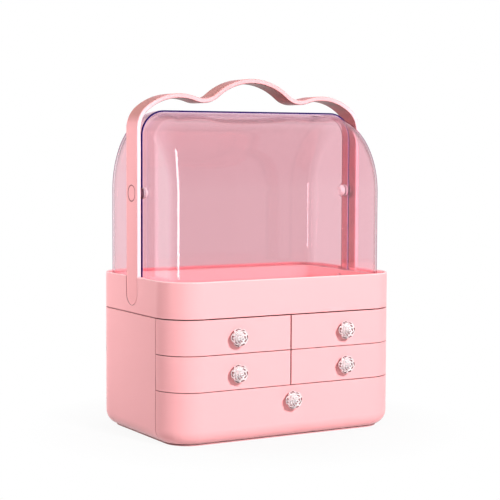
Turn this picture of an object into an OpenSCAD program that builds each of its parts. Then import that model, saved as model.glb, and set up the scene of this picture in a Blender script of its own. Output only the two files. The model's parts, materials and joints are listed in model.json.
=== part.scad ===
// Dustproof make-up organizer: a five-drawer casing, an open tray on top of it, a fixed cloud-shaped
// carrying handle, and a clear dome in two halves whose front half swings up on the handle's pivots.
// Millimetres. +Z is up, the drawers face -Y, and the origin is the middle of the base.

/* [Body] */
// Width over the side walls
body_w = 270; // [262:1:280]
// Depth over the front and the back
body_d = 182; // [180:1:190]
// Radius of the upright corners
corner_r = 36; // [35:1:37]
// Radius of the rounded lower edge
edge_r = 15; // [14:0.5:16]
// Wall of the casing, the tray and the drawer fronts
wall = 2.6; // [2.4:0.1:2.8]

/* [Rows] */
// Height of the seam above the bottom drawer
first_seam = 54.5; // [52:0.5:58]
// Pitch of the two upper drawer rows
row_h = 36; // [34:0.5:40]
// Gap between two drawer fronts, one above the other
front_gap = 0.8; // [0.4:0.1:0.8]
// Gap between the left and the right drawer fronts
middle_gap = 1.5; // [0.8:0.1:1.6]

/* [Drawers] */
// Wall and floor of a drawer behind its front
drawer_wall = 2; // [1.8:0.1:2.2]
// How far a drawer's rear wall stands from the middle of the body
drawer_back = 72; // [68:1:72]
// Outer rear corner radius of the small drawers
drawer_r = 26; // [24:1:28]
// Outer rear corner radius of the bottom drawer
low_drawer_r = 18; // [18:1:20]

/* [Tray] */
// Height of the tray over the casing
tray_h = 36.5; // [35:0.5:40]
// Depth of the step under the rim that carries the dome
ledge_drop = 3.1; // [2.8:0.1:3.4]
// Width of that step, from the outer wall to the well
ledge_w = 14.9; // [14.5:0.1:15.5]

/* [Dome] */
// Height of the pivot axis above the base
pivot_z = 248; // [240:1:256]
// Outer radius of the fixed rear half about the pivot
shell_r = 84.2; // [83.8:0.1:84.4]
// Outer width of the rear half
shell_w = 254; // [253.6:0.1:254.2]
// Corner radius of the rear half
shell_corner = 26; // [25:0.5:27]
// Outer radius of the swinging front half about the pivot
lid_r = 81.4; // [81:0.1:81.6]
// Outer width of the front half
lid_w = 246; // [245.6:0.1:246.2]
// Wall of both halves
clear_wall = 2.2; // [2:0.1:2.3]

/* [Handle] */
// Width of the band, front to back
band_w = 26; // [24:1:28]
// Thickness of the band
band_t = 4.8; // [4.6:0.1:4.9]
// Height of the middle of the band at the top of the centre hump
band_top = 363.8; // [360:0.1:370]
// Radius of the centre hump
hump_r = 66; // [62:1:68]
// Radius of the two dips beside it
dip_r = 25; // [22:1:27]
// Radius of the side humps
side_r = 59; // [55:1:62]

/* [Knobs] */
// Width over the petals
knob_w = 20; // [18:0.5:22]
// How far the knobs of the small drawers stand from the middle
knob_x = 63.5; // [50:0.5:80]
// Height of the bottom drawer's knob
low_knob_z = 40; // [30:1:44]

/* [Hidden] */
$fn = 64;

pink = [0.96, 0.70, 0.72];
pale = [0.98, 0.78, 0.79];
clear = [0.95, 0.75, 0.80, 0.45];
crystal = [0.98, 0.93, 0.94, 0.7];
steel = [0.75, 0.75, 0.77];

far = 400;                                   // longer than anything it has to cut
half_w = body_w / 2;
half_d = body_d / 2;
bay_y = corner_r - half_d;                   // the wrapped drawer fronts end here
casing_y = bay_y + 1;                        // and the casing begins here, behind a dark gap
second_seam = first_seam + row_h;
third_seam = first_seam + 2 * row_h;

flange_h = 1;                                // rim of the base plate that the object stands on
flange_in = 11;
slab_h = 2.4;
slab_in = 18;
rail_top = 4.2;                              // rails that the bottom drawer rides on
rail_x = 80;
rail_w = 4;
rail_len = 120;

shelf_t = 2.4;
shelf_up = 0.5;                              // a shelf's top over its seam
runner_w = 2.6;                              // strips on the walls that carry the shelves
runner_h = 1.8;
runner_y = casing_y + 2;
runner_len = 100;
divider_t = 2.4;
deck_top = third_seam + 0.5;                 // the tray stands on this
deck_t = 2.4;
casing_top = deck_top - 1.3;                 // leaves a dark groove under the tray
lip_gap = 0.4;                               // between the casing's foot and the base plate's slab

box_in = 6;                                  // a drawer's side behind its front, from the body's face
box_mid = 3.8;                               // a small drawer's inner side, from the middle
floor_gap = 0.4;
box_gap = 0.6;                               // over a drawer's side walls
low_floor = 4.4;                             // underside of the bottom drawer's floor
low_edge = 7;                                // rounding of the bottom drawer behind its front
low_clear = 0.4;                             // the bottom drawer's front over the base plate's flange

rim_z = deck_top + tray_h;
ledge_z = rim_z - ledge_drop;
well_in = wall + ledge_w;
tray_wall = 2.2;
tray_floor = 2.4;

shell_half = shell_w / 2;
lid_half = lid_w / 2;
lid_corner = shell_corner - 2;
shell_lap = 6;                               // the rear half's rim in front of the axis
lid_lap = 2;                                 // the front half's rim behind the axis
lid_gap = 0.6;                               // the front half's lower edge over the step
shell_ear = 9;
lid_ear = 8;

leg_in = half_w - band_t;                    // inner face of the handle's legs
leg_foot = 134;                              // lowest point of a leg
leg_gap = 0.3;
pocket_x = leg_in - 0.2;                     // floor of the tray's recess for a leg
pocket_t = 2.2;
arm_screw_z = [141.5, 153.5];
arm_pilot = 3.6;                             // depth of a screw's hole in a leg

pin_r = 3;
pin_fit = 0.05;
cap_r = 7.7;
cap_gap = 0.4;                               // ring between a cap and the bore that it sits in
cap_t = 1.6;
head_r = 5;
head_t = 1.4;
nut_r = 6;
nut_t = 4;
pin_end = 118;

tray_screw_at = [half_w - 9, 28];
base_screw_at = [60, half_d - 13.5];
boss_r = 4;
base_boss_top = 13;
base_pilot_top = 10.5;
tab_x = 60;                                  // tabs of the rear half in slots of the tray's step
tab_y = 47;
tab_w = 14;
tab_h = 6;
tab_gap = 0.3;

screw_r = 1.5;
screw_fit = 0.05;
screw_head_r = 3;
screw_len = 13;
knob_screw_r = 1.75;
knob_bore = 9;
neck_r = 4.6;                                // a knob's neck, flange and heights of its petal layers
knob_flange_r = 6.5;
layer_z = [4.5, 8, 10.5, 13];

// --- outlines and sweeps ---

module rounded_rect(w, d, r) {
    square([w - 2 * r, d], center = true);
    square([w, d - 2 * r], center = true);
    for (x = [-1, 1], y = [-1, 1])
        translate([x * (w / 2 - r), y * (d / 2 - r)]) circle(r);
}

// The body's outline seen from above, drawn in by inset
module plan(inset = 0) {
    rounded_rect(body_w - 2 * inset, body_d - 2 * inset, corner_r - inset);
}

// A section, with x measured from the axis of the upright corners, turned round corner i:
// 0 and 1 at the back, 2 and 3 at the front, anticlockwise from the right
module corner_sweep(i) {
    x = (i == 0 || i == 3) ? 1 : -1;
    y = (i < 2) ? 1 : -1;
    translate([x * (half_w - corner_r), y * (half_d - corner_r), 0])
        rotate([0, 0, 90 * i]) rotate_extrude(angle = 90) children();
}

// The same section along the straight side i: 0 right, 1 back, 2 left, 3 front
module side_sweep(i) {
    long = (i % 2 == 1);
    length = (long ? body_w : body_d) - 2 * corner_r;
    reach = (long ? half_d : half_w) - corner_r;
    rotate([0, 0, 90 * i]) translate([reach, 0, 0]) rotate([90, 0, 0])
        linear_extrude(height = length, center = true) children();
}

// Filled half section with a rounded foot
module foot_section(out, r, z0, z1) {
    translate([0, z0 + r]) square([out, z1 - z0 - r]);
    translate([0, z0]) square([out - r, r]);
    translate([out - r, z0 + r]) circle(r);
}

// The part of the body in front of the casing, with a rounded foot
module front_bay(inset, r, z0, z1) {
    for (i = [2, 3]) corner_sweep(i) foot_section(corner_r - inset, r, z0, z1);
    side_sweep(3) foot_section(corner_r - inset, r, z0, z1);
}

// A box whose rear corners and lower edges are rounded, open-ended at y0
module tub(x, y0, y1, r, e, z0, z1) {
    for (s = [0, 1])
        mirror([s, 0, 0]) {
            translate([x - r, y1 - r, 0]) rotate_extrude(angle = 90) foot_section(r, e, z0, z1);
            translate([x - r, y1 - r, 0]) rotate([90, 0, 0])
                linear_extrude(height = y1 - r - y0) foot_section(r, e, z0, z1);
        }
    translate([r - x, y1 - r, 0]) rotate([90, 0, 90])
        linear_extrude(height = 2 * (x - r)) foot_section(r, e, z0, z1);
    translate([r - x, y0, z0]) cube([2 * (x - r), y1 - r - y0, z1 - z0]);
}

// Cuts away everything in front of y
module behind(y) {
    difference() {
        children();
        translate([-far / 2, y - far, -1]) cube([far, far, far]);
    }
}

module slab(z0, z1) {
    translate([0, 0, z0]) linear_extrude(height = z1 - z0) children();
}

// A cylinder along X, on the right-hand side from x0 out to x1
module cross_pin(r, x0, x1, y, z) {
    translate([x0, y, z]) rotate([0, 90, 0]) cylinder(r = r, h = x1 - x0);
}

module on_side(side) {
    mirror([side < 0 ? 1 : 0, 0, 0]) children();
}

module both_sides() {
    for (side = [-1, 1]) on_side(side) children();
}

// --- casing ---

module casing_section() {
    difference() {
        foot_section(corner_r, edge_r, flange_h, casing_top);
        foot_section(corner_r - wall, edge_r - wall, flange_h + wall, far);
        translate([-1, 0]) square([corner_r - slab_in + lip_gap + 1, far]);
    }
}

module runner(z) {
    translate([half_w - wall - runner_w, runner_y, z - runner_h])
        cube([runner_w + 0.2, runner_len, runner_h]);
}

module casing() {
    color(pink) difference() {
        union() {
            behind(casing_y) {
                for (i = [0, 1]) corner_sweep(i) casing_section();
                for (i = [0, 1, 2]) side_sweep(i) casing_section();
                slab(deck_top - deck_t, deck_top) plan(2);
            }
            both_sides() {
                for (seam = [first_seam, second_seam]) runner(seam + shelf_up - shelf_t);
                translate([base_screw_at[0], base_screw_at[1], flange_h + 1])
                    cylinder(r = boss_r, h = base_boss_top - flange_h - 1);
            }
        }
        both_sides() {
            translate([base_screw_at[0], base_screw_at[1], 0])
                cylinder(r = screw_r + screw_fit, h = base_pilot_top);
            for (y = [-1, 1])
                translate([tray_screw_at[0], y * tray_screw_at[1], deck_top - deck_t])
                    sunk_screw(screw_fit, deck_t + 1);
        }
    }
}

// Flat-headed screw with its head's face at the bottom, or with a fit the hole for it
module sunk_screw(fit, len) {
    cylinder(r = screw_r + fit, h = len);
    cylinder(r1 = screw_head_r + fit, r2 = screw_r + fit, h = screw_r);
}

module base_plate() {
    color(pale) difference() {
        union() {
            slab(0, flange_h) plan(flange_in);
            slab(0, slab_h) plan(slab_in);
            both_sides() translate([rail_x - rail_w / 2, casing_y, slab_h - 0.1])
                cube([rail_w, rail_len, rail_top - slab_h + 0.1]);
        }
        both_sides() translate([base_screw_at[0], base_screw_at[1], -1]) {
            cylinder(r = screw_head_r, h = 1.6);
            cylinder(r = screw_r + 0.2, h = 3);
        }
    }
}

module base_screws() {
    color(steel) both_sides() translate([base_screw_at[0], base_screw_at[1], 0.1]) {
        cylinder(r = screw_head_r - 0.2, h = 0.5);
        cylinder(r = screw_r, h = base_pilot_top - 0.5);
    }
}

// --- shelves and divider ---

module shelf(seam) {
    slab(seam + shelf_up - shelf_t, seam + shelf_up) intersection() {
        plan(wall + 0.1);
        translate([-half_w, casing_y]) square([body_w, far]);
    }
}

module lower_shelf() {
    color(pink) shelf(first_seam);
}

module upper_shelf(side) {
    color(pink) intersection() {
        shelf(second_seam);
        on_side(side) translate([divider_t / 2 + 0.1, -far / 2, 0]) cube([far, far, far]);
    }
}

module centre_divider() {
    z0 = first_seam + shelf_up;
    color(pink) {
        translate([-divider_t / 2, casing_y, z0])
            cube([divider_t, half_d - wall - casing_y - 0.1, deck_top - deck_t - z0]);
        both_sides() translate([0, runner_y, second_seam + shelf_up - shelf_t - runner_h])
            cube([divider_t / 2 + 2, runner_len, runner_h]);
    }
}

// --- tray ---

module tray_section() {
    well = corner_r - well_in;
    translate([corner_r - wall, deck_top]) square([wall, tray_h - wall / 2]);
    translate([corner_r - wall / 2, rim_z - wall / 2]) circle(wall / 2);
    translate([well, ledge_z - tray_wall]) square([ledge_w + 0.2, tray_wall]);
    translate([well, deck_top]) square([tray_wall, ledge_z - deck_top - 0.5]);
}

// Outline of a handle leg's foot, seen from the side
module leg_outline(grow, top) {
    r = band_w / 2 + grow;
    translate([0, leg_foot + band_w / 2]) circle(r);
    translate([-r, leg_foot + band_w / 2]) square([2 * r, top - leg_foot - band_w / 2]);
}

module leg_block(grow, x0, x1, top) {
    translate([x0, 0, 0]) rotate([90, 0, 90])
        linear_extrude(height = x1 - x0) leg_outline(grow, top);
}

module tab_places() {
    both_sides() translate([tab_x, shell_r - clear_wall / 2, 0]) children();
    both_sides() translate([shell_half - clear_wall / 2, tab_y, 0]) rotate([0, 0, 90]) children();
}

module tray() {
    color(pink) difference() {
        union() {
            for (i = [0:3]) {
                corner_sweep(i) tray_section();
                side_sweep(i) tray_section();
            }
            slab(deck_top, deck_top + tray_floor) plan(well_in - tray_wall / 2);
            both_sides() {
                leg_block(3, pocket_x - pocket_t, half_w - 0.1, rim_z - 0.6);
                for (z = arm_screw_z) cross_pin(boss_r, half_w - well_in + 0.5, pocket_x - 1, 0, z);
                for (y = [-1, 1]) translate([tray_screw_at[0], y * tray_screw_at[1], deck_top])
                    cylinder(r = boss_r, h = ledge_z - deck_top - 0.5);
            }
        }
        both_sides() {
            leg_block(leg_gap, pocket_x, far / 2, far);
            for (z = arm_screw_z) cross_pin(screw_r + screw_fit, half_w / 2, half_w, 0, z);
            for (y = [-1, 1]) translate([tray_screw_at[0], y * tray_screw_at[1], deck_top - 1])
                cylinder(r = screw_r + screw_fit, h = screw_len);
        }
        tab_places() translate([0, 0, ledge_z])
            cube([tab_w + 2 * tab_gap, clear_wall + 2 * tab_gap, 2 * tab_h], center = true);
    }
}

module tray_screws() {
    color(steel) both_sides() for (y = [-1, 1])
        translate([tray_screw_at[0], y * tray_screw_at[1], deck_top - deck_t])
            sunk_screw(0, screw_len);
}

// --- handle ---

// The band is a chain of arcs in the XZ plane. Each heading is the band's slope where two arcs meet.
hump_turn = 40;
dip_turn = 59;
side_turn = 57;
dip_head = dip_turn - hump_turn;
side_head = dip_head - side_turn;
leg_mid = half_w - band_t / 2;
hump_c = [0, band_top - hump_r];
dip_c = hump_c + (hump_r + dip_r) * [sin(hump_turn), cos(hump_turn)];
side_c = dip_c + (dip_r + side_r) * [sin(dip_head), -cos(dip_head)];
side_end = side_c + side_r * [-sin(side_head), cos(side_head)];
shoulder_r = (leg_mid - side_end[0]) / (1 + sin(side_head));
shoulder_c = side_end - shoulder_r * [-sin(side_head), cos(side_head)];

module band_arc(c, r, a0, a1) {
    translate([c[0], 0, c[1]]) rotate([90, 0, 0]) rotate([0, 0, a0])
        rotate_extrude(angle = a1 - a0) translate([r - band_t / 2, -band_w / 2])
            square([band_t, band_w]);
}

module handle() {
    color(pale) difference() {
        union() {
            band_arc(hump_c, hump_r, 90 - hump_turn, 90 + hump_turn);
            both_sides() {
                band_arc(dip_c, dip_r, 270 - hump_turn, 270 + dip_head);
                band_arc(side_c, side_r, 90 + side_head, 90 + dip_head);
                band_arc(shoulder_c, shoulder_r, 0, 90 + side_head);
                leg_block(0, leg_in, half_w, shoulder_c[1]);
            }
        }
        both_sides() {
            cross_pin(cap_r + cap_gap, half_w - cap_t, half_w + 1, 0, pivot_z);
            cross_pin(head_r + 0.1, half_w - cap_t - head_t, half_w, 0, pivot_z);
            cross_pin(pin_r + pin_fit, leg_in - 1, half_w, 0, pivot_z);
            for (z = arm_screw_z) cross_pin(screw_r + screw_fit, leg_in - 1, leg_in + arm_pilot, 0, z);
        }
    }
}

module handle_screws() {
    well_x = half_w - well_in;
    color(steel) both_sides() for (z = arm_screw_z) {
        cross_pin(screw_head_r, well_x - 1.8, well_x, 0, z);
        cross_pin(screw_r, well_x - 0.1, leg_in + arm_pilot - 0.2, 0, z);
    }
}

// --- dome ---

module hoop_area(w, r, c, back) {
    translate([-back, -w]) square([back + r - c, 2 * w]);
    translate([-back, c - w]) square([back + r, 2 * (w - c)]);
    for (s = [-1, 1]) translate([r - c, s * (w - c)]) circle(c);
}

// Wall section of a dome half: x is the distance from the pivot axis, y runs along that axis
module hoop(w, r, c, back) {
    difference() {
        hoop_area(w, r, c, back);
        hoop_area(w - clear_wall, r - clear_wall, c - clear_wall, back + 1);
    }
}

// Half of the dome on the +Y side: a quarter turn about the axis on a straight skirt
module dome_half(w, r, c, lap, ear, foot) {
    difference() {
        union() {
            translate([0, 0, pivot_z]) {
                rotate([90, 0, 90]) rotate_extrude(angle = 90) intersection() {
                    hoop(w, r, c, 0);
                    translate([0, -far / 2]) square([far, far]);
                }
                rotate([90, 0, 0]) linear_extrude(height = lap) rotate([0, 0, 90]) intersection() {
                    hoop(w, r, c, 0);
                    translate([0, -far / 2]) square([far, far]);
                }
            }
            slab(foot, pivot_z) rotate([0, 0, 90]) hoop(w, r, c, lap);
            both_sides() cross_pin(ear, w - clear_wall, w, 0, pivot_z);
        }
        both_sides() cross_pin(pin_r + pin_fit, w - clear_wall - 1, w + 1, 0, pivot_z);
    }
}

module rear_shell() {
    color(clear) {
        dome_half(shell_half, shell_r, shell_corner, shell_lap, shell_ear, ledge_z);
        tab_places() translate([0, 0, ledge_z - tab_h / 2 + 0.5])
            cube([tab_w, clear_wall, tab_h + 1], center = true);
    }
}

module front_lid() {
    color(clear) mirror([0, 1, 0])
        dome_half(lid_half, lid_r, lid_corner, lid_lap, lid_ear, ledge_z + lid_gap);
}

// --- pivots ---

module pivot_pin(side) {
    color(steel) on_side(side) {
        cross_pin(pin_r, pin_end, half_w - cap_t - head_t + 0.1, 0, pivot_z);
        cross_pin(head_r, half_w - cap_t - head_t, half_w - cap_t - 0.05, 0, pivot_z);
    }
}

module pivot_cap(side) {
    color(pale) on_side(side) cross_pin(cap_r, half_w - cap_t, half_w, 0, pivot_z);
}

module pivot_ring(r, x0, x1) {
    difference() {
        cross_pin(r, x0, x1, 0, pivot_z);
        cross_pin(pin_r + pin_fit, x0 - 1, x1 + 1, 0, pivot_z);
    }
}

module pivot_spacer(side) {
    color(pink) on_side(side) pivot_ring(5, shell_half, leg_in);
}

module pivot_washer(side) {
    color(clear) on_side(side) pivot_ring(6.5, lid_half + 0.15, shell_half - clear_wall - 0.1);
}

// Domed clear nut on the pin's inner end
module pivot_nut(side) {
    face = lid_half - clear_wall - 0.2;
    color(crystal) on_side(side) difference() {
        union() {
            cross_pin(nut_r, face - 2, face, 0, pivot_z);
            translate([face - 2, 0, pivot_z]) rotate([0, -90, 0])
                cylinder(r1 = nut_r, r2 = nut_r - 2, h = nut_t - 2);
        }
        cross_pin(pin_r + pin_fit, pin_end - 0.1, face + 1, 0, pivot_z);
    }
}

// --- drawers ---

module half_front(inset, y_end) {
    intersection() {
        plan(inset);
        translate([middle_gap / 2 + inset, -half_d]) square([half_w, half_d + y_end]);
    }
}

module half_box(inset) {
    x0 = box_mid + inset;
    x1 = half_w - box_in - inset;
    y1 = drawer_back - inset;
    r = drawer_r - inset;
    translate([x0, bay_y - 3]) square([x1 - x0, y1 - r - bay_y + 3]);
    translate([x0, bay_y]) square([x1 - x0 - r, y1 - bay_y]);
    translate([x1 - r, y1 - r]) circle(r);
}

module small_drawer(side, seam, top) {
    bottom = seam + front_gap / 2;
    under = seam + shelf_up + floor_gap;
    inside = under + drawer_wall;
    color(pink) on_side(side) difference() {
        union() {
            slab(bottom, seam + row_h - front_gap / 2 - (top == deck_top - deck_t ? 0.4 : 0))
                half_front(0, bay_y);
            slab(under, top - box_gap) half_box(0);
        }
        slab(inside, far) {
            half_front(wall, bay_y - 2);
            half_box(drawer_wall);
        }
        slab(0, under) half_front(wall, bay_y - 2);
        knob_hole(knob_x, knob_height(seam));
    }
}

module knob_hole(x, z) {
    translate([x, wall - half_d + 1, z]) rotate([90, 0, 0])
        cylinder(r = knob_screw_r + 0.15, h = wall + 2);
}

module drawer_bottom() {
    top = first_seam - front_gap / 2;
    box_top = first_seam + shelf_up - shelf_t - box_gap;
    low = flange_h + low_clear;
    inside = low_floor + drawer_wall;
    color(pink) difference() {
        union() {
            front_bay(0, edge_r, flange_h, top);
            tub(half_w - box_in, bay_y - 3, drawer_back, low_drawer_r, low_edge, low_floor, box_top);
        }
        translate([-far / 2, -far / 2, -1]) cube([far, far, low + 1]);
        intersection() {
            front_bay(wall, edge_r - wall, flange_h + wall, far / 2);
            translate([-far / 2, bay_y - 2 - far, inside]) cube([far, far, far]);
        }
        tub(half_w - box_in - drawer_wall, bay_y - 4, drawer_back - drawer_wall,
            low_drawer_r - drawer_wall, low_edge - drawer_wall, inside, far / 2);
        slab(-1, low_floor) intersection() {
            plan(slab_in - 0.6);
            translate([-far / 2, -far]) square([far, far + bay_y + 0.1]);
        }
        knob_hole(0, low_knob_z);
    }
}

// --- knobs ---

function knob_height(seam) = seam + row_h / 2 - 1;

// Layered rose on a short neck, built upwards and then turned to point out of the drawer's front
module rose(x, z) {
    petal = knob_w / 4;
    color(crystal) translate([x, -half_d, z]) rotate([90, 0, 0]) difference() {
        union() {
            cylinder(r = knob_flange_r, h = 1.5);
            cylinder(r = neck_r, h = layer_z[1]);
            translate([0, 0, layer_z[0]])
                petals(petal + 0.2, petal - 0.2, layer_z[1] - layer_z[0] + 0.5, 0);
            translate([0, 0, layer_z[1]])
                petals(petal - 0.8, petal - 1.6, layer_z[2] - layer_z[1] + 0.5, 36);
            translate([0, 0, layer_z[2]])
                cylinder(r1 = neck_r, r2 = neck_r - 1.6, h = layer_z[3] - layer_z[2]);
        }
        translate([0, 0, -1]) cylinder(r = knob_screw_r + screw_fit, h = knob_bore + 1);
    }
}

module petals(r, at, h, turn) {
    linear_extrude(height = h) {
        circle(at);
        for (i = [0:4]) rotate([0, 0, 72 * i + turn]) translate([at, 0]) circle(r);
    }
}

module knob_screw(x, z) {
    color(steel) translate([x, wall - half_d, z]) rotate([90, 0, 0]) {
        translate([0, 0, -2.2]) cylinder(r = 3.8, h = 2.2);
        translate([0, 0, -0.1]) cylinder(r = knob_screw_r, h = wall + knob_bore - 0.4);
    }
}

casing();
base_plate();
base_screws();
lower_shelf();
upper_shelf(-1);  // upper_shelf_left
upper_shelf(1);  // upper_shelf_right
centre_divider();
tray();
tray_screws();
handle();
handle_screws();
rear_shell();
front_lid();
pivot_pin(-1);  // pivot_pin_left
pivot_pin(1);  // pivot_pin_right
pivot_cap(-1);  // pivot_cap_left
pivot_cap(1);  // pivot_cap_right
pivot_spacer(-1);  // pivot_spacer_left
pivot_spacer(1);  // pivot_spacer_right
pivot_washer(-1);  // pivot_washer_left
pivot_washer(1);  // pivot_washer_right
pivot_nut(-1);  // pivot_nut_left
pivot_nut(1);  // pivot_nut_right
small_drawer(-1, second_seam, deck_top - deck_t);  // drawer_top_left
small_drawer(1, second_seam, deck_top - deck_t);  // drawer_top_right
small_drawer(-1, first_seam, second_seam + shelf_up - shelf_t);  // drawer_middle_left
small_drawer(1, first_seam, second_seam + shelf_up - shelf_t);  // drawer_middle_right
drawer_bottom();
rose(-knob_x, knob_height(second_seam));  // knob_top_left
rose(knob_x, knob_height(second_seam));  // knob_top_right
rose(-knob_x, knob_height(first_seam));  // knob_middle_left
rose(knob_x, knob_height(first_seam));  // knob_middle_right
rose(0, low_knob_z);  // knob_bottom
knob_screw(-knob_x, knob_height(second_seam));  // knob_screw_top_left
knob_screw(knob_x, knob_height(second_seam));  // knob_screw_top_right
knob_screw(-knob_x, knob_height(first_seam));  // knob_screw_middle_left
knob_screw(knob_x, knob_height(first_seam));  // knob_screw_middle_right
knob_screw(0, low_knob_z);  // knob_screw_bottom
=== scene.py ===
import json
import math

import bmesh
import bpy
from mathutils import Matrix, Vector


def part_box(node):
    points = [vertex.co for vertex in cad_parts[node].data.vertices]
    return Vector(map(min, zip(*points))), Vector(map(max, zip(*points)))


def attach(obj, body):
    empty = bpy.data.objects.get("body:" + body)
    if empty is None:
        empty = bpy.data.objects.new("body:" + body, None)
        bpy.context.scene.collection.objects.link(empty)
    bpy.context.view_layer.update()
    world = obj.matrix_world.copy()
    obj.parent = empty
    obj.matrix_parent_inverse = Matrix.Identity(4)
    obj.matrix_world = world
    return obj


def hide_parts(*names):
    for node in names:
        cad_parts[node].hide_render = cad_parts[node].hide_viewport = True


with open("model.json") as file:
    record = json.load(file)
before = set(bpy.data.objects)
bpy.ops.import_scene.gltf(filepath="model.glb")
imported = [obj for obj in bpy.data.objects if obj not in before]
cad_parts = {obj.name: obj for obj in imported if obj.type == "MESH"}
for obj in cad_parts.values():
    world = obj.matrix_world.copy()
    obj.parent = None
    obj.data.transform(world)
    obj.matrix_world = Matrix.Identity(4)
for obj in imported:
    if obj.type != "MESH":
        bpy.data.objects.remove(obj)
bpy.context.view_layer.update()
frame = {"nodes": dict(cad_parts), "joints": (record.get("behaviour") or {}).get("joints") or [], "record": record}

mm = 0.001
weldGap = 1e-6  # points nearer than this become one
nodes = frame["nodes"]
bodyOf = {node: body for body, held in frame["record"]["behaviour"]["bodies"].items() for node in held}
slotOf = {part["node"]: part["material_slot"] for part in frame["record"]["subparts"]}
pivot = Vector(next(j["pos_m"] for j in frame["joints"] if j["name"] == "lid_hinge"))


# A socket that can stand in a sum, a product or a comparison
class Wire:
    def __init__(self, recipe, socket):
        self.recipe = recipe
        self.socket = socket

    def maths(self, operation, first, second):
        return self.recipe.node("Math", {"operation": operation}, {0: first, 1: second})

    def __add__(self, other):
        return self.maths("ADD", self, other)

    def __sub__(self, other):
        return self.maths("SUBTRACT", self, other)

    def __rsub__(self, other):
        return self.maths("SUBTRACT", other, self)

    def __mul__(self, other):
        return self.maths("MULTIPLY", self, other)

    def __lt__(self, other):
        return self.maths("LESS_THAN", self, other)

    def __gt__(self, other):
        return self.maths("GREATER_THAN", self, other)

    def __abs__(self):
        return self.maths("ABSOLUTE", self, 0)

    __radd__ = __add__
    __rmul__ = __mul__


# The nodes of one material, or of the world
class Recipe:
    def __init__(self, owner):
        self.owner = owner
        owner.use_nodes = True
        self.tree = owner.node_tree
        self.tree.nodes.clear()

    def node(self, kind, settings=None, values=None, out=0):
        made = self.tree.nodes.new("ShaderNode" + kind)
        for name, value in (settings or {}).items():
            setattr(made, name, value)
        for name, value in (values or {}).items():
            self.feed(made.inputs[name], value)
        return Wire(self, made.outputs[out]) if made.outputs else None

    def feed(self, socket, value):
        if isinstance(value, Wire):
            self.tree.links.new(value.socket, socket)
        elif socket.type == "RGBA":
            socket.default_value = (*value, 1)
        else:
            socket.default_value = value

    def place(self):
        return self.node("TexCoord", out="Object")

    def normal(self):
        return self.node("TexCoord", out="Normal")

    def part(self, vector, axis):
        return self.node("SeparateXYZ", values={0: vector}, out=axis)

    def vectors(self, operation, *values, out="Vector"):
        return self.node("VectorMath", {"operation": operation}, dict(enumerate(values)), out)

    # 1 for a ray of this kind, 0 for any other
    def rayIs(self, kind):
        return self.node("LightPath", out="Is " + kind + " Ray")

    # 0 at the first level, 1 at the second, even between them and flat beyond
    def ramped(self, value, first, second):
        return self.node("MapRange", {"clamp": True}, {"Value": value, "From Min": first, "From Max": second})

    def noise(self, scale, detail=2.0, rough=0.5):
        values = {"Vector": self.place(), "Scale": scale, "Detail": detail, "Roughness": rough}
        return self.node("TexNoise", values=values)

    def bump(self, height, distance, strength=1.0):
        return self.node("Bump", values={"Height": height, "Distance": distance, "Strength": strength})

    def mixColour(self, share, first, second):
        return self.node("Mix", {"data_type": "RGBA"}, {0: share, 6: first, 7: second}, out=2)

    def mixShader(self, share, first, second):
        return self.node("MixShader", values={0: share, 1: first, 2: second})

    def transparent(self, colour):
        return self.node("BsdfTransparent", values={"Color": colour})

    # Lets lamps reach what is behind a clear wall. The tint is a whole wall's, shared by its two faces.
    def lampsThrough(self, shader, tint):
        return self.mixShader(self.rayIs("Shadow"), shader, self.transparent(tuple(v ** 0.5 for v in tint)))

    def finish(self, shader):
        self.node("OutputMaterial", values={"Surface": shader})
        return self.owner


def newRecipe(name):
    return Recipe(bpy.data.materials.new(name))


pinkLook = {
    "colour": (0.955, 0.445, 0.463),
    "deeper": (0.940, 0.425, 0.445),  # the second tone of a faint cloud
    "cloudScale": 9.0,
    "rough": 0.34,
    "roughSpread": 0.05,
    "smearScale": 36.0,  # of the spread in roughness
    "grainScale": 2600.0,
    "grainDepth": 0.008 * mm,
    "ior": 1.49,
    "gloss": 0.16,
    "coat": 0.07,
    "coatRough": 0.12,
    "lip": (1.0, 0.66, 0.67),  # painted highlight on rounded upper edges
    "lipBegins": (0.2, 0.5),  # by how far a face looks up
    "lipEnds": (0.98, 0.9),
    # painted shade in creases and gaps that the Ambient Occlusion finds closed in
    "creaseShade": (0.34, 0.16, 0.165),
    "creaseReach": 3.0 * mm,
    "creaseOpens": (0.10, 0.78),
    "bounce": (0.92, 0.60, 0.61),  # the colour that goes on with light from piece to piece
}
handleLook = {
    **pinkLook,
    "colour": (0.96, 0.430, 0.447),
    "deeper": (0.94, 0.410, 0.427),
    "gloss": 0.10,
    "coat": 0.03,
    # painted shade on the band's faces that look up
    "lip": (0.74, 0.33, 0.30),
    "edge": (0.98, 0.72, 0.78),  # painted highlight on the band's front and back edges
    "edgeHighlightTurns": (0.5, 0.9),  # by how square a face is to Y
    "inner": (0.58, 0.25, 0.25),  # painted shade on the band's faces towards the dome
    "innerTurns": (-20 * mm, -60 * mm),  # by how far a face looks back at the middle
    "middle": (0, 0, 0.2),
    "crestHeight": (0.320, 0.350),  # from here up, edges and inner faces take the crest's tones: a weaker painted highlight and deeper painted shade
    "crestEdgeHighlight": (0.95, 0.47, 0.49),
    "innerCrestShade": (0.28, 0.085, 0.08),
    "gapShade": (0.42, 0.10, 0.11),  # painted shade in the gap round a pivot's cap
    "gapR": 8.15 * mm,
    "gapWide": 0.75 * mm,
}
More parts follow.
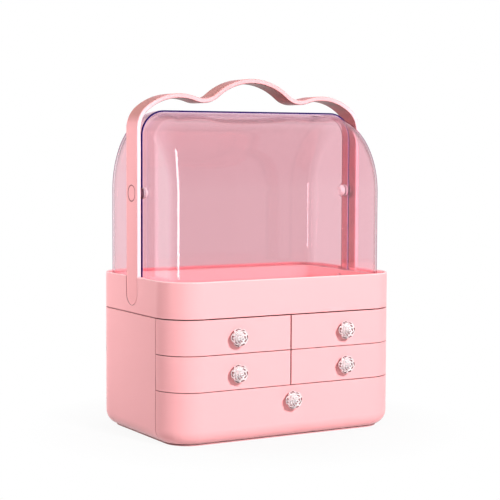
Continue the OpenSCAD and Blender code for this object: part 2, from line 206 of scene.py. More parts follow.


# Painted light on the handle: a painted highlight on the edges and painted shade on the inner faces, both changing
# towards the crest, and painted shade in the gap round a pivot's cap
def handlePaintedLight(recipe, look, colour):
    normal, place = recipe.normal(), recipe.place()
    crest = recipe.ramped(recipe.part(place, "Z"), *look["crestHeight"])
    outward = recipe.vectors("SUBTRACT", place, look["middle"])
    outward = recipe.vectors("MULTIPLY", outward, (1, 0, 1))
    outward = recipe.vectors("DOT_PRODUCT", outward, normal, out="Value")
    # Painted shade on the inner faces, deeper towards the crest
    inner = recipe.mixColour(crest, look["inner"], look["innerCrestShade"])
    colour = recipe.mixColour(recipe.ramped(outward, *look["innerTurns"]), colour, inner)
    # Painted highlight on the edges square to Y, weaker towards the crest
    edge = recipe.mixColour(crest, look["edge"], look["crestEdgeHighlight"])
    square = abs(recipe.part(normal, "Y"))
    colour = recipe.mixColour(recipe.ramped(square, *look["edgeHighlightTurns"]), colour, edge)
    # Painted shade in the gap round a pivot's cap
    fromAxis = recipe.vectors("SUBTRACT", place, tuple(pivot))
    fromAxis = recipe.vectors("MULTIPLY", fromAxis, (0, 1, 1))
    reach = recipe.vectors("LENGTH", fromAxis, out="Value")
    gap = recipe.ramped(abs(reach - look["gapR"]), look["gapWide"], look["gapWide"] / 2)
    return recipe.mixColour(gap, colour, look["gapShade"])


# Moulded plastic: a faint cloud in the colour, a fine spark-eroded grain and a soft gloss, with painted light on
# the faces that look up (a painted highlight on the pink's rounded upper edges, painted shade on the handle's) and
# painted shade in creases
def pinkPlastic(name, look):
    recipe = newRecipe(name)
    colour = recipe.mixColour(recipe.noise(look["cloudScale"], 3.0), look["colour"], look["deeper"])
    # Painted light on faces that look up: a pale painted highlight for pinkLook, darker painted shade for
    # handleLook
    rise = recipe.part(recipe.normal(), "Z")
    lip = recipe.ramped(rise, *look["lipBegins"]) * recipe.ramped(rise, *look["lipEnds"])
    colour = recipe.mixColour(lip, colour, look["lip"])
    if "edge" in look:
        colour = handlePaintedLight(recipe, look, colour)
    # Painted shade in creases and narrow gaps, from the Ambient Occlusion
    openness = recipe.node("AmbientOcclusion", {"samples": 8}, {"Distance": look["creaseReach"]}, "AO")
    colour = recipe.mixColour(recipe.ramped(openness, *look["creaseOpens"]), look["creaseShade"], colour)
    colour = recipe.mixColour(recipe.rayIs("Diffuse"), colour, look["bounce"])
    smear = recipe.noise(look["smearScale"], 4.0, 0.6)
    grain = recipe.noise(look["grainScale"], 2.0, 0.6)
    return recipe.finish(recipe.node("BsdfPrincipled", values={
        "Base Color": colour,
        "Roughness": (smear - 0.5) * look["roughSpread"] + look["rough"],
        "IOR": look["ior"],
        "Specular IOR Level": look["gloss"],
        "Coat Weight": look["coat"],
        "Coat Roughness": look["coatRough"],
        "Normal": recipe.bump(grain, look["grainDepth"]),
    }))


clearLook = {
    "rearTint": (0.85, 0.61, 0.655),
    "lidTint": (0.855, 0.625, 0.665),
    "sideTint": (0.995, 0.79, 0.84),  # of the walls that look to the left and right
    "sideTurns": (0.1, 0.6),  # by how square a wall is to Y
    "lampTint": (0.97, 0.87, 0.885),
    "rough": 0.02,
    "ior": 1.49,
    "waveScale": 14.0,
    "waveDepth": 0.12 * mm,
    "waveShare": 0.3,
    "brink": (0.955, 0.85, 0.895),  # where a wall is seen along its surface
    "brinkSlant": (0.58, 0.86),
    "brinkShare": 0.96,
    "outline": (0.50, 0.31, 0.41),  # the last of the brink, on walls and not on the crown: deeper tint of the long path through the wall, and in part a painted dark reflection of the surroundings
    "outlineSlant": (0.72, 0.86),
    "crownTurns": (0.95, 0.75),  # by how square a face is to Z
    "rimDark": (0.012, 0.004, 0.09),
    "rimPale": (0.62, 0.36, 0.62),
    "rimShare": 0.80,  # of the wall, from the outside in, is painted dark as shade
    "rimDepth": 0.9 * mm,
    "rimRough": 0.5,
    "rimGloss": 0.2,
}


# Clear tinted plastic, faintly wavy, paler in the side walls and deeper where it is seen along its surface, ending
# in a dark outline that is partly painted reflection. A cut rim at rimY is painted dark violet as shade for most
# of the wall's thickness, and pale inside.
def clearPlastic(name, tint, rimY=None):
    look = clearLook
    recipe = newRecipe(name)
    normal = recipe.normal()
    square = recipe.ramped(abs(recipe.part(normal, "Y")), *look["sideTurns"])
    upright = recipe.ramped(abs(recipe.part(normal, "Z")), *look["crownTurns"])
    glass = recipe.node("BsdfPrincipled", values={
        "Base Color": recipe.mixColour(square, look["sideTint"], look[tint]),
        "Roughness": look["rough"],
        "IOR": look["ior"],
        "Transmission Weight": 1.0,
        "Normal": recipe.bump(recipe.noise(look["waveScale"]), look["waveDepth"], look["waveShare"]),
    })
    # Towards the silhouettes the gloss gives way to plain tint, and at the last to a dark outline that is partly
    # painted reflection
    slant = recipe.node("LayerWeight", values={"Blend": 0.5}, out="Facing")
    outline = recipe.ramped(slant, *look["outlineSlant"]) * upright
    brink = recipe.mixShader(outline, recipe.transparent(look["brink"]), recipe.transparent(look["outline"]))
    along = recipe.ramped(slant, *look["brinkSlant"]) * look["brinkShare"]
    clear = recipe.lampsThrough(recipe.mixShader(along, glass, brink), look["lampTint"])
    if rimY is None:
        return recipe.finish(clear)
    # The cut rim is painted dark violet as shade, in place of the dark line of a cut clear wall, and pale inside
    onRim = abs(recipe.part(recipe.place(), "Y") - rimY) < look["rimDepth"]
    outer = recipe.node("Attribute", {"attribute_name": "wallShare"}, out="Fac") < look["rimShare"]
    cut = recipe.node("BsdfPrincipled", values={
        "Base Color": recipe.mixColour(outer, look["rimPale"], look["rimDark"]),
        "Roughness": look["rimRough"],
        "Specular IOR Level": look["rimGloss"],
    })
    return recipe.finish(recipe.mixShader(onRim, clear, cut))


crystalLook = {
    "petal": (1.0, 0.90, 0.91),
    # painted shade in the grooves, on lines inside the petals' edges and under the petals
    "groove": (0.22, 0.05, 0.06),
    "lampTint": (0.03, 0.006, 0.006),
    "rough": 0.08,
    "ior": 1.6,
    "clearness": 0.03,
    "glow": 0.6,
    "glowSpread": (1.0, 0.8, 0.8),  # shares of the reach for red, green and blue
    "glowReach": 3.5 * mm,
    "coatRough": 0.03,
    "coatIor": 1.8,
    "rippleScale": 900.0,
    "rippleDepth": 0.03 * mm,
    "rippleShare": 0.4,
}


# The knobs' milky plastic, with painted shade in deep pink in the grooves between the petals, on lines inside the
# petals' edges and under the petals
def crystalPlastic():
    look = crystalLook
    recipe = newRecipe("crystalPlastic")
    groove = recipe.node("Attribute", {"attribute_name": "groove"}, out="Fac")
    ripple = recipe.noise(look["rippleScale"])
    milky = recipe.node("BsdfPrincipled", values={
        "Base Color": recipe.mixColour(groove, look["petal"], look["groove"]),
        "Roughness": look["rough"],
        "IOR": look["ior"],
        "Transmission Weight": look["clearness"],
        "Subsurface Weight": look["glow"],
        "Subsurface Radius": look["glowSpread"],
        "Subsurface Scale": look["glowReach"],
        "Coat Weight": 1.0,
        "Coat Roughness": look["coatRough"],
        "Coat IOR": look["coatIor"],
        "Normal": recipe.bump(ripple, look["rippleDepth"], look["rippleShare"]),
    })
    return recipe.finish(recipe.lampsThrough(milky, look["lampTint"]))


facetLook = {
    "colour": (1.0, 0.90, 0.95),
    "rough": 0.04,
    "ior": 1.6,
    "glow": 0.6,
    "glowSpread": (1.0, 1.0, 1.0),
    "glowReach": 3.0 * mm,
    "coatIor": 1.8,
    "facetScale": 900.0,
    "facetDepth": 0.5 * mm,
}


# The pivots' nuts and washers: pale plastic in small facets that catch the light
def facetPlastic():
    look = facetLook
    recipe = newRecipe("facetPlastic")
    facets = recipe.node("TexVoronoi", values={"Vector": recipe.place(), "Scale": look["facetScale"]})
    return recipe.finish(recipe.node("BsdfPrincipled", values={
        "Base Color": look["colour"],
        "Roughness": look["rough"],
        "IOR": look["ior"],
        "Subsurface Weight": look["glow"],
        "Subsurface Radius": look["glowSpread"],
        "Subsurface Scale": look["glowReach"],
        "Coat Weight": 1.0,
        "Coat IOR": look["coatIor"],
        "Normal": recipe.bump(facets, look["facetDepth"]),
    }))


steelLook = {
    "dull": (0.62, 0.62, 0.64),
    "bright": (0.74, 0.74, 0.76),
    "rough": 0.2,
    "roughSpread": 0.16,
    "brushScale": 700.0,
    "brushDepth": 0.01 * mm,
}


def screwSteel():
    look = steelLook
    recipe = newRecipe("screwSteel")
    brushed = recipe.noise(look["brushScale"], 3.0, 0.7)
    return recipe.finish(recipe.node("BsdfPrincipled", values={
        "Base Color": recipe.mixColour(brushed, look["dull"], look["bright"]),
        "Metallic": 1.0,
        "Roughness": brushed * look["roughSpread"] + look["rough"],
        "Normal": recipe.bump(brushed, look["brushDepth"]),
    }))


def dress(piece, material):
    piece.data.materials.clear()
    piece.data.materials.append(material)


def newPiece(name, mesh, body, material, replaced):
    piece = bpy.data.objects.new(name, mesh)
    bpy.context.scene.collection.objects.link(piece)
    dress(piece, material)
    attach(piece, body)
    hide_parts(replaced)
    return piece


# A mesh whose faces may each bring corners of their own, which are then welded
def meshFrom(name, corners, faces):
    made = bmesh.new()
    points = [made.verts.new(c) for c in corners]
    for face in faces:
        made.faces.new([points[i] for i in face])
    bmesh.ops.remove_doubles(made, verts=made.verts[:], dist=weldGap)
    bmesh.ops.recalc_face_normals(made, faces=made.faces[:])
    mesh = bpy.data.meshes.new(name)
    made.to_mesh(mesh)
    made.free()
    return mesh


# Stores one value for each point of a finished mesh, for its material to read
def pointValues(piece, name, valueAt):
    values = piece.data.attributes.new(name, "FLOAT", "POINT")
    values.data.foreach_set("value", [valueAt(v.co) for v in piece.data.vertices])


def applyModifiers(piece):
    bpy.context.view_layer.update()
    seen = piece.evaluated_get(bpy.context.evaluated_depsgraph_get())
    mesh = bpy.data.meshes.new_from_object(seen)
    piece.modifiers.clear()
    old = piece.data
    piece.data = mesh
    bpy.data.meshes.remove(old)


def shadeSmooth(piece):
    piece.data.polygons.foreach_set("use_smooth", [True] * len(piece.data.polygons))


# Smooth shading in which the large faces stay flat
def shadeByArea(piece):
    shadeSmooth(piece)
    weighted = piece.modifiers.new("weighted", "WEIGHTED_NORMAL")
    weighted.keep_sharp = True
    applyModifiers(piece)


# Rounds the edges that turn by more than an angle in degrees
def roundEdges(piece, width, segments, angle):
    bevel = piece.modifiers.new("bevel", "BEVEL")
    bevel.width = width
    bevel.segments = segments
    bevel.limit_method = "ANGLE"
    bevel.angle_limit = math.radians(angle)
    bevel.miter_outer = "MITER_ARC"
    shadeByArea(piece)


softening = {
    "segments": 3,
    "fromAngle": 35,
    "flatAngle": 0.6,  # faces that turn by less than this are one face
    "bodyRound": 0.8 * mm,
    "capRound": 0.5 * mm,
}


# A pink CAD node's own shape with its sharp edges rounded off
def softCopy(node, width, material):
    made = bmesh.new()
    made.from_mesh(nodes[node].data)
    bmesh.ops.remove_doubles(made, verts=made.verts[:], dist=weldGap)
    flat = math.radians(softening["flatAngle"])
    bmesh.ops.dissolve_limit(made, angle_limit=flat, verts=made.verts[:], edges=made.edges[:])
    mesh = bpy.data.meshes.new(node + "_soft")
    made.to_mesh(mesh)
    made.free()
    piece = newPiece(node + "_shown", mesh, bodyOf[node], material, node)
    roundEdges(piece, width, softening["segments"], softening["fromAngle"])


dome = {
    "wall": 2.0 * mm,  # a little under the CAD's, so that no washer or nut lies in one plane with it
    "holeR": 3.05 * mm,
    "arcSteps": 48,
    "cornerSteps": 14,
    "holeSteps": 32,
    "earSteps": 16,
    "edgeRound": 0.35 * mm,
    "roundSegments": 2,
    "roundFrom": 50,
}
domeHalves = {
    "rear_shell": {
        "out": 1,  # the way the half goes from the pivots, along Y
        "halfW": 126.9 * mm,
        "r": 84.2 * mm,
        "corner": 26.0 * mm,
        "lap": 6.0 * mm,  # past the pivots towards the other half
        "ear": 9.0 * mm,
    },
    "front_lid": {
        "out": -1,
        "halfW": 122.9 * mm,
        "r": 81.4 * mm,
        "corner": 24.0 * mm,
        "lap": 2.0 * mm,
        "ear": 8.0 * mm,
    },
}
domeTabs = {"deep": 6.0 * mm, "wide": 14.0 * mm, "backX": 60.0 * mm, "sideY": 47.0 * mm}


# The corner and crown of a half's section: distances from the middle plane and from the pivot axis
def crownSection(halfW, r, corner):
    half = []
    for step in range(dome["cornerSteps"] + 1):
        turn = math.pi / 2 * step / dome["cornerSteps"]
        half.append((halfW - corner + corner * math.cos(turn), r - corner + corner * math.sin(turn)))
    return half + [(-x, v) for x, v in reversed(half)]


# Where a point at distance v from the axis comes at each station, from the rim over the top to the foot
def domeStations(lap, foot):
    stations = [lambda v: (-lap, pivot.z + v)]
    for step in range(dome["arcSteps"] + 1):
        turn = math.pi / 2 * (1 - step / dome["arcSteps"])
        stations.append(lambda v, c=math.cos(turn), s=math.sin(turn): (v * c, pivot.z + v * s))
    stations.append(lambda v: (v, foot))
    return stations


# Outline of a half's flat side, as (y, z), in two parts that meet above and below the pin's hole,
# then the lines of its rim and its hole
def flatSide(reach, lap, ear, foot):
    steps, middle = dome["holeSteps"], dome["holeSteps"] // 2
    hole = [(dome["holeR"] * math.sin(a), pivot.z + dome["holeR"] * math.cos(a))
            for a in (2 * math.pi * k / steps for k in range(steps + 1))]
    bow = math.acos(lap / ear)
    steps = dome["earSteps"]
    earArc = [(-ear * math.cos(a), pivot.z + ear * math.sin(a))
              for a in (bow * (1 - 2 * k / steps) for k in range(steps + 1))]
    top, bottom = (0.0, pivot.z + reach), (0.0, foot)
    behind = [station(reach) for station in domeStations(lap, foot)[1:]]
    rearPart = behind + [bottom] + hole[middle::-1]
    rim = [(-lap, pivot.z + reach)] + earArc + [(-lap, foot)]
    frontPart = [bottom] + rim[::-1] + [top] + hole[:middle - 1:-1]
    return rearPart, frontPart, rim, hole


# One half of the dome with its own wall thickness, from the rim and the pivots' ears down to its foot
def domeHalf(node, foot):
    half = domeHalves[node]
    corners, faces = [], []

    def addFace(points):
        faces.append(range(len(corners), len(corners) + len(points)))
        corners.extend((x, half["out"] * y, z) for x, y, z in points)

    def addStrip(first, second):
        for k in range(len(first) - 1):
            addFace([first[k], first[k + 1], second[k + 1], second[k]])

    stations = domeStations(half["lap"], foot)
    rims, feet = [], []
    for inset in (0.0, dome["wall"]):
        section = crownSection(half["halfW"] - inset, half["r"] - inset, half["corner"] - inset)
        rows = [[(x, *station(v)) for x, v in section] for station in stations]
        for first, second in zip(rows, rows[1:]):
            addStrip(first, second)
        rims.append(rows[0])
        feet.append(rows[-1])
    addStrip(*rims)
    addStrip(*feet)
    reach = half["r"] - half["corner"]
    rearPart, frontPart, rim, hole = flatSide(reach, half["lap"], half["ear"], foot)
    base = [(-half["lap"], foot), (0.0, foot), (reach, foot)]
    for side in (-1, 1):
        walls = [side * half["halfW"], side * (half["halfW"] - dome["wall"])]
        for x in walls:
            addFace([(x, y, z) for y, z in rearPart])
            addFace([(x, y, z) for y, z in frontPart])
        for line in (rim, hole, base):
            addStrip(*([(x, y, z) for y, z in line] for x in walls))
    return meshFrom(node + "_shell", corners, faces)


# How deep a point of a half's rim lies under the half's outer face
def skinDepth(point, half):
    inX = abs(point.x) - (half["halfW"] - half["corner"])
    up = point.z - pivot.z - (half["r"] - half["corner"])
    if inX > 0 and up > 0:
        return half["corner"] - math.hypot(inX, up)
    return half["corner"] - max(inX, up)


def blockMesh(name, low, high):
    xs, ys, zs = zip(low, high)
    corners = [(x, y, z) for z in zs for y in ys for x in xs]
    faces = [(0, 2, 3, 1), (4, 5, 7, 6), (0, 1, 5, 4), (2, 6, 7, 3), (0, 4, 6, 2), (1, 3, 7, 5)]
    return meshFrom(name, corners, faces)


# One mesh of several, which are used up
def joined(name, parts):
    made = bmesh.new()
    for part in parts:
        made.from_mesh(part)
        bpy.data.meshes.remove(part)
    mesh = bpy.data.meshes.new(name)
    made.to_mesh(mesh)
    made.free()
    return mesh


# The tabs under the rear half: two at the back and one on each side
def tabMeshes(half, ledge):
    wide, wall, low = domeTabs["wide"] / 2, dome["wall"], ledge - domeTabs["deep"]
    tabs = []
    for side in (-1, 1):
        x, y = side * domeTabs["backX"], half["r"]
        tabs.append(blockMesh("tab", (x - wide, y - wall, low), (x + wide, y, ledge)))
        x, y = side * (half["halfW"] - wall / 2), domeTabs["sideY"]
        tabs.append(blockMesh("tab", (x - wall / 2, y - wide, low), (x + wall / 2, y + wide, ledge)))
    return tabs


def makeDome():
    rear = domeHalves["rear_shell"]
    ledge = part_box("rear_shell")[0].z + domeTabs["deep"]
    rearMesh = joined("rear_dome", [domeHalf("rear_shell", ledge)] + tabMeshes(rear, ledge))
    rearPlastic = clearPlastic("clearRear", "rearTint", -rear["lap"])
    rearPiece = newPiece("rear_dome", rearMesh, "body", rearPlastic, "rear_shell")
    lidMesh = domeHalf("front_lid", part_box("front_lid")[0].z)
    lidPlastic = clearPlastic("clearLid", "lidTint")
    lidPiece = newPiece("lid_dome", lidMesh, "lid", lidPlastic, "front_lid")
    for piece in (rearPiece, lidPiece):
        roundEdges(piece, dome["edgeRound"], dome["roundSegments"], dome["roundFrom"])
    pointValues(rearPiece, "wallShare", lambda p: skinDepth(p, rear) / dome["wall"])
    print("dome halves made")


handle = {
    "width": 26.0 * mm,
    "thick": 4.8 * mm,
    "round": 1.5 * mm,
    "roundShare": 0.8,  # the most of a narrow section's half width that its rounding takes
    "roundSteps": 4,
    "crest": 363.8 * mm,
    "humpR": 66.0 * mm,
    "humpTurn": 40,
    "dipR": 25.0 * mm,
    "dipTurn": 59,
    "sideR": 59.0 * mm,
    "sideTurn": 57,
    "stepDegrees": 2.5,
    "footSteps": 12,
    "footStepDegrees": 7.2,
    "capR": 8.4 * mm,
    "capDeep": 1.6 * mm,
    "headR": 5.1 * mm,
    "headDeep": 1.4 * mm,
    "pinR": 3.05 * mm,
    "boreOut": 1.0 * mm,  # how far the bore's cutter stands out of the leg
    "boreIn": 8.0 * mm,
    "boreSteps": 64,
}


# Right half of the band's middle line as (x, z, heading): arcs that meet with one slope, then the leg
def handleLine(footZ, legX):
    points = []
    x, z, heading = 0.0, handle["crest"], 0.0

    def arc(radius, turn, bend):
        nonlocal x, z, heading
        centreX = x + bend * radius * math.sin(heading)
        centreZ = z - bend * radius * math.cos(heading)
        start = heading
        steps = max(2, round(abs(math.degrees(turn)) / handle["stepDegrees"]))
        for k in range(steps):
            now = start - bend * turn * k / steps
            points.append((centreX - bend * radius * math.sin(now),
                           centreZ + bend * radius * math.cos(now), now))
        heading = start - bend * turn
        x = centreX - bend * radius * math.sin(heading)
        z = centreZ + bend * radius * math.cos(heading)

    arc(handle["humpR"], math.radians(handle["humpTurn"]), 1)
    arc(handle["dipR"], math.radians(handle["dipTurn"]), -1)
    arc(handle["sideR"], math.radians(handle["sideTurn"]), 1)
    shoulder = (legX - x) / (1 + math.sin(heading))
    arc(shoulder, heading + math.pi / 2, 1)
    points.append((x, z, heading))
    points.append((x, footZ + handle["width"] / 2, heading))
    return points


# The band's section round a station, as (y, distance from the middle line)
def bandSection(halfWide):
    halfThick, fillet = handle["thick"] / 2, min(handle["round"], halfWide * handle["roundShare"])
    section = []
    for cornerY, cornerN, first in ((1, 1, 0), (-1, 1, 90), (-1, -1, 180), (1, -1, 270)):
        for k in range(handle["roundSteps"] + 1):
            turn = math.radians(first + 90 / handle["roundSteps"] * k)
            section.append((cornerY * (halfWide - fillet) + fillet * math.cos(turn),
                            cornerN * (halfThick - fillet) + fillet * math.sin(turn)))
    return section


def makeHandle(material):
    low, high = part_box("handle")
    legX = high.x - handle["thick"] / 2
    footR = handle["width"] / 2
    stations = [(x, z, heading, footR) for x, z, heading in handleLine(low.z, legX)]
    for k in range(1, handle["footSteps"] + 1):
        turn = math.radians(handle["footStepDegrees"] * k)
        stations.append((legX, low.z + footR * (1 - math.sin(turn)), -math.pi / 2, footR * math.cos(turn)))
    mirrored = [(-x, z, -heading, wide) for x, z, heading, wide in reversed(stations[1:])]
    rows = []
    for x, z, heading, wide in mirrored + stations:
        acrossX, acrossZ = -math.sin(heading), math.cos(heading)
        rows.append([(x + n * acrossX, y, z + n * acrossZ) for y, n in bandSection(wide)])
    corners = [point for row in rows for point in row]
    count = len(rows[0])
    faces = []
    for r in range(0, len(corners) - count, count):
        for k in range(count):
            after = (k + 1) % count
            faces.append((r + k, r + after, r + count + after, r + count + k))
    faces += [range(count), range(len(corners) - count, len(corners))]
    mesh = meshFrom("handle_band", corners, faces)
    band = newPiece("handle_band", mesh, "body", material, "handle")
    for side in (-1, 1):
        cutBore(band, side, high.x)
    shadeByArea(band)
    print("handle made")


# Takes the seat of a pivot's cap, pin head and pin out of a leg
def cutBore(band, side, outX):
    capFloor = -handle["capDeep"]
    headFloor = capFloor - handle["headDeep"]
    bores = ((handle["capR"], handle["boreOut"], capFloor),
             (handle["headR"], capFloor, headFloor),
             (handle["pinR"], headFloor, -handle["boreIn"]))
    outline = [(0.0, handle["boreOut"])]
    for radius, begin, end in bores:
        outline += [(radius, begin), (radius, end)]
    outline.append((0.0, -handle["boreIn"]))
    rows = []
    for k in range(handle["boreSteps"]):
        turn = 2 * math.pi * k / handle["boreSteps"]
        rows.append([(side * (outX + along), r * math.cos(turn), pivot.z + r * math.sin(turn))
                     for r, along in outline])
    corners, faces = [], []
    for first, second in zip(rows, rows[1:] + rows[:1]):
        for j in range(len(outline) - 1):
            quad = [first[j], first[j + 1], second[j + 1], second[j]]
            quad = [p for n, p in enumerate(quad) if p not in quad[:n]]
            faces.append(range(len(corners), len(corners) + len(quad)))
            corners += quad
    cutter = bpy.data.objects.new("bore", meshFrom("bore", corners, faces))
    bpy.context.scene.collection.objects.link(cutter)
    cut = band.modifiers.new("bore", "BOOLEAN")
    cut.operation = "DIFFERENCE"
    cut.solver = "EXACT"
    cut.object = cutter
    applyModifiers(band)
    bpy.data.objects.remove(cutter)


rose = {
    "around": 150,
    "under": (  # screw hole, flange and neck, as (radius, height) in mm
        (1.8, 9.0), (1.8, 0.0),
        (6.0, 0.0), (6.5, 0.5), (6.5, 1.1), (5.9, 1.5),
        (4.6, 2.0), (4.6, 2.3), (5.6, 2.6),
    ),
    "outside": ((0.80, 2.9), (0.96, 3.7)),  # shares of the outer petals' reach, with heights in mm
    "petalsFrom": 2.6 * mm,
    "edgeDrop": 0.7 * mm,
    "edgeInset": 0.05 * mm,
    "rows": 64,
    "rowShift": 0.3,
    "lobePower": 2.2,
    "cupPower": 3,
    "twist": 0.45,  # mm that a petal climbs from its one side to the other
    # painted shade at the foot of each petal's edge, and on a line just inside it
    "grooveWide": 0.5 * mm,
    "grooveShade": 0.3,
    "lineIn": 0.95 * mm,
    "lineWide": 0.65 * mm,
    "lineSpan": 0.42,
    "softenBy": 0.5,
    "softenTimes": 2,
    "petals": (  # rings from the outside in; edge, low and lip in mm
        {"count": 5, "turn": 0.0, "edge": 9.5, "low": 2.7, "lip": 3.6, "lobe": 0.12},
        {"count": 5, "turn": 0.63, "edge": 8.6, "low": 5.2, "lip": 4.2, "lobe": 0.12},
        {"count": 4, "turn": 0.2, "edge": 6.4, "low": 7.4, "lip": 3.6, "lobe": 0.12},
        {"count": 3, "turn": 1.2, "edge": 4.2, "low": 9.4, "lip": 2.9, "lobe": 0.14},
        {"count": 2, "turn": 0.5, "edge": 2.0, "low": 11.2, "lip": 1.7, "lobe": 0.18},
    ),
}


# How far a ring of petals reaches at an angle, and where between two petals the angle is
def petalEdge(ring, angle):
    share = (angle - ring["turn"]) * ring["count"] / (2 * math.pi) % 1.0
    return ring["edge"] * mm * (1 - ring["lobe"] * abs(2 * share - 1) ** rose["lobePower"]), share


def petalHeight(radius, angle):
    height = rose["petals"][0]["low"]
    for ring in rose["petals"]:
        edge, share = petalEdge(ring, angle)
        if radius < edge:
            rise = (radius / edge) ** rose["cupPower"]
            height = ring["low"] + ring["lip"] * rise - rose["twist"] * (1 - share)
    return height * mm


# Painted shade, 1 at the foot of a petal's edge and on the line just inside it, 0 on the open petals
def grooveAt(radius, angle):
    depth = 0.0
    for ring in rose["petals"]:
        edge, share = petalEdge(ring, angle)
        beyond = radius - edge
        if 0 <= beyond < rose["grooveWide"]:
            depth = max(depth, rose["grooveShade"] * (1 - beyond / rose["grooveWide"]))
        offLine = abs(beyond + rose["lineIn"])
        if offLine < rose["lineWide"] and abs(2 * share - 1) < rose["lineSpan"]:
            depth = max(depth, min(1.0, 2 - 2 * offLine / rose["lineWide"]))
    return depth


def makeRose(node, material):
    low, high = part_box(node)
    centre, faceY = (low + high) / 2, high.y
    steps, rows = rose["around"], rose["rows"]
    turns = [2 * math.pi * k / steps for k in range(steps)]
    edges = [petalEdge(rose["petals"][0], turn)[0] for turn in turns]
    rings = [[(radius * mm, height * mm)] * steps for radius, height in rose["under"]]
    rings += [[(edge * share, height * mm) for edge in edges] for share, height in rose["outside"]]
    rings.append([(edge, petalHeight(edge - rose["edgeInset"], turn) - rose["edgeDrop"])
                  for edge, turn in zip(edges, turns)])
    for row in range(rows):
        share = 1 - (row + rose["rowShift"]) / rows
        rings.append([(edge * share, petalHeight(edge * share, turn)) for edge, turn in zip(edges, turns)])
    corners = [(centre.x + radius * math.cos(turn), faceY - height, centre.z + radius * math.sin(turn))
               for ring in rings for (radius, height), turn in zip(ring, turns)]
    faces = []
    for r in range(0, len(corners) - steps, steps):
        for k in range(steps):
            after = (k + 1) % steps
            faces.append((r + k, r + after, r + steps + after, r + steps + k))
    faces += [range(steps), range(len(corners) - steps, len(corners))]
    mesh = meshFrom(node + "_rose", corners, faces)
    piece = newPiece(node + "_rose", mesh, bodyOf[node], material, node)
    shadeSmooth(piece)
    soften = piece.modifiers.new("soften", "SMOOTH")
    soften.factor = rose["softenBy"]
    soften.iterations = rose["softenTimes"]
    applyModifiers(piece)

    # Painted shade: full under the petals, nearer the drawer than petalsFrom, and by grooveAt on the petals
    def grooveValue(p):
        if faceY - p.y < rose["petalsFrom"]:
            return 1.0
        angle = math.atan2(p.z - centre.z, p.x - centre.x) % (2 * math.pi)
        return grooveAt(math.hypot(p.x - centre.x, p.z - centre.z), angle)

    pointValues(piece, "groove", grooveValue)


pink = pinkPlastic("pinkPlastic", pinkLook)
handlePink = pinkPlastic("handlePlastic", handleLook)
facets = facetPlastic()
finishes = {
    "pink": pink,
    "steel": screwSteel(),
    "crystal": crystalPlastic(),
    "clear_pink": clearPlastic("clearPlain", "rearTint"),
}

for node in ("casing", "tray", "drawer_top_left", "drawer_top_right", "drawer_middle_left",
             "drawer_middle_right", "drawer_bottom"):
    softCopy(node, softening["bodyRound"], pink)
print("casing, tray and drawers rounded")
makeDome()
makeHandle(handlePink)
for node in sorted(nodes):
    if node.startswith("knob_") and not node.startswith("knob_screw"):
        makeRose(node, finishes["crystal"])
print("rose knobs made")
for node in ("pivot_cap_left", "pivot_cap_right"):
    softCopy(node, softening["capRound"], handlePink)
for node in sorted(nodes):
    dress(nodes[node], facets if node.startswith(("pivot_nut", "pivot_washer")) else finishes[slotOf[node]])
print("other pieces dressed")


cameraView = {
    "at": (-0.76717, -1.33524, 0.29630),
    "yaw": 30.01,
    "pitch": 4.10,
    "roll": 0.224,
    "focalPixels": 1452.66,
    "framePixels": 500,
    "sensor": 36,
    "farthest": 20,
}


def makeCamera():
    yaw, pitch, roll = (math.radians(cameraView[k]) for k in ("yaw", "pitch", "roll"))
    forward = Vector((math.sin(yaw) * math.cos(pitch), math.cos(yaw) * math.cos(pitch), -math.sin(pitch)))
    right = Vector((math.cos(yaw), -math.sin(yaw), 0))
    up = right.cross(forward)
    turn = Matrix.Rotation(-roll, 3, forward)
    right, up = turn @ right, turn @ up
    data = bpy.data.cameras.new("camera")
    data.sensor_width = cameraView["sensor"]
    data.lens = cameraView["focalPixels"] * cameraView["sensor"] / cameraView["framePixels"]
    data.clip_end = cameraView["farthest"]
    camera = bpy.data.objects.new("camera", data)
    camera.matrix_world = Matrix((right, up, -forward)).transposed().to_4x4()
    camera.location = cameraView["at"]
    bpy.context.scene.collection.objects.link(camera)
    bpy.context.scene.camera = camera


backdrop = {
    "size": 8.0,
    "colour": (0.62, 0.61, 0.61),
    "nearWhite": 0.90,  # the rest of the floor's look near the object is lit, and holds its shadow
    "fade": (0.12, 0.24),
}


# White to the camera and to gloss and clear plastic, with the object's shadow kept near the object
def backdropMaterial():
    recipe = newRecipe("whiteFloor")
    away = recipe.vectors("LENGTH", recipe.place(), out="Value")
    near, far = backdrop["fade"]
    fade = recipe.node("MapRange", {"clamp": True}, {
        "Value": away, "From Min": near, "From Max": far, "To Min": backdrop["nearWhite"], "To Max": 1.0})
    seen = recipe.rayIs("Camera") + recipe.rayIs("Glossy") + recipe.rayIs("Transmission") > 0.5
    matt = recipe.node("BsdfDiffuse", values={"Color": backdrop["colour"]})
    glow = recipe.node("Emission", values={"Color": (1, 1, 1), "Strength": 1.0})
    return recipe.finish(recipe.mixShader(seen * fade, matt, glow))


def makeFloor():
    half = backdrop["size"] / 2
    corners = [(-half, -half, 0), (half, -half, 0), (half, half, 0), (-half, half, 0)]
    floor = bpy.data.objects.new("floor", meshFrom("floor", corners, [(0, 1, 2, 3)]))
    dress(floor, backdropMaterial())
    bpy.context.scene.collection.objects.link(floor)


surroundings = {
    "ambient": 0.06,
    "ambientColour": (1.0, 0.80, 0.81),
    "ambientUp": -0.02,
    "glossUp": 1.0,  # how fast what gloss mirrors gets dimmer with height, down to glossLeast
    "glossLeast": 0.55,
    "ceilingColour": (1.0, 0.66, 0.74),
    "ceilingHeight": (0.05, 0.5),
}


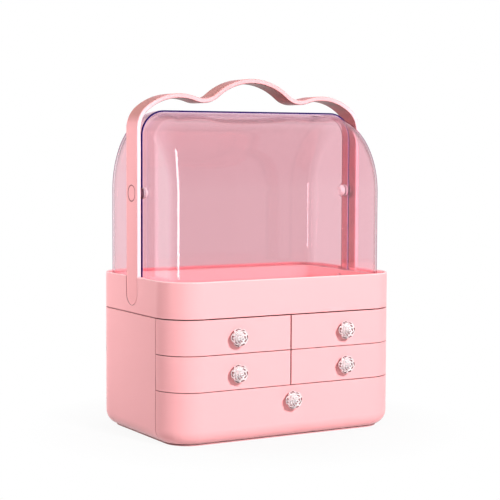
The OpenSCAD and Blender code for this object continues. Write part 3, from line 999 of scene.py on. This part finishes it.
# White where it is seen. What gloss mirrors is dimmer and pinker overhead, and the light on the object
# is warm and a little dimmer from above.
def makeWorld():
    world = bpy.data.worlds.new("studio")
    bpy.context.scene.world = world
    recipe = Recipe(world)
    up = recipe.part(recipe.node("TexCoord", out="Generated"), "Z")
    gloss = recipe.rayIs("Glossy")
    white = recipe.rayIs("Camera") + recipe.rayIs("Transmission") > 0.5
    mirrored = gloss * (1 - white)
    lit = (1 - gloss) * (1 - white)
    mirrorLevel = recipe.node("Clamp", values={
        "Value": 1 - up * surroundings["glossUp"], "Min": surroundings["glossLeast"], "Max": 1.0})
    litLevel = up * surroundings["ambientUp"] + surroundings["ambient"]
    overhead = recipe.ramped(up, *surroundings["ceilingHeight"]) * mirrored
    colour = recipe.mixColour(overhead, (1, 1, 1), surroundings["ceilingColour"])
    colour = recipe.mixColour(lit, colour, surroundings["ambientColour"])
    light = recipe.node("Background", values={
        "Color": colour, "Strength": white + mirrored * mirrorLevel + lit * litLevel})
    recipe.node("OutputWorld", values={"Surface": light})


lamps = {
    "key": {"at": (0.325, -2.31, 1.34), "aim": (0, 0, 0.18), "size": (0.35, 0.35), "watts": 77.0},
    "front": {"at": (-0.9, -2.2, 0.6), "aim": (0, 0, 0.2), "size": (0.4, 1.2), "watts": 4.6},
    "left": {"at": (-1.7, -1.0, 0.5), "aim": (0, 0, 0.15), "size": (0.5, 0.5), "watts": 3.2},
    "side": {"at": (-0.42, 0.28, 0.34), "aim": (-0.13, 0.04, 0.14), "size": (0.25, 0.25), "watts": 1.5},
    "back": {"at": (-1.15, 1.75, 0.35), "aim": (-0.13, 0, 0.25), "size": (0.8, 0.9), "watts": 6.5},
    "streak": {"at": (-1.90, -0.33, 0.95), "aim": (0, 0, 0.95), "size": (0.32, 2.4), "watts": 26.0},
    "top": {"at": (0.8, -0.1, 1.8), "aim": (0, 0, 0.2), "size": (0.8, 0.8), "watts": 4.0},
    "right": {"at": (1.6, 0.9, 0.8), "aim": (0, 0, 0.2), "size": (0.8, 0.8), "watts": 12.0},
}
mirroredLamp = "streak"  # seen only as a line of gloss in the dome, while the others only light


def areaLight(name, at, aim, size, watts):
    data = bpy.data.lights.new(name, "AREA")
    data.shape = "RECTANGLE"
    data.size, data.size_y = size
    data.energy = watts
    lamp = bpy.data.objects.new(name, data)
    lamp.location = at
    lamp.rotation_euler = (Vector(aim) - Vector(at)).to_track_quat("-Z", "Y").to_euler()
    mirrored = name == mirroredLamp
    lamp.visible_camera = False
    lamp.visible_glossy = mirrored
    lamp.visible_transmission = mirrored
    lamp.visible_diffuse = not mirrored
    bpy.context.scene.collection.objects.link(lamp)


makeCamera()
makeFloor()
makeWorld()
for name, lamp in lamps.items():
    areaLight(name, **lamp)
bpy.context.scene.view_settings.view_transform = "Standard"
print("studio set")
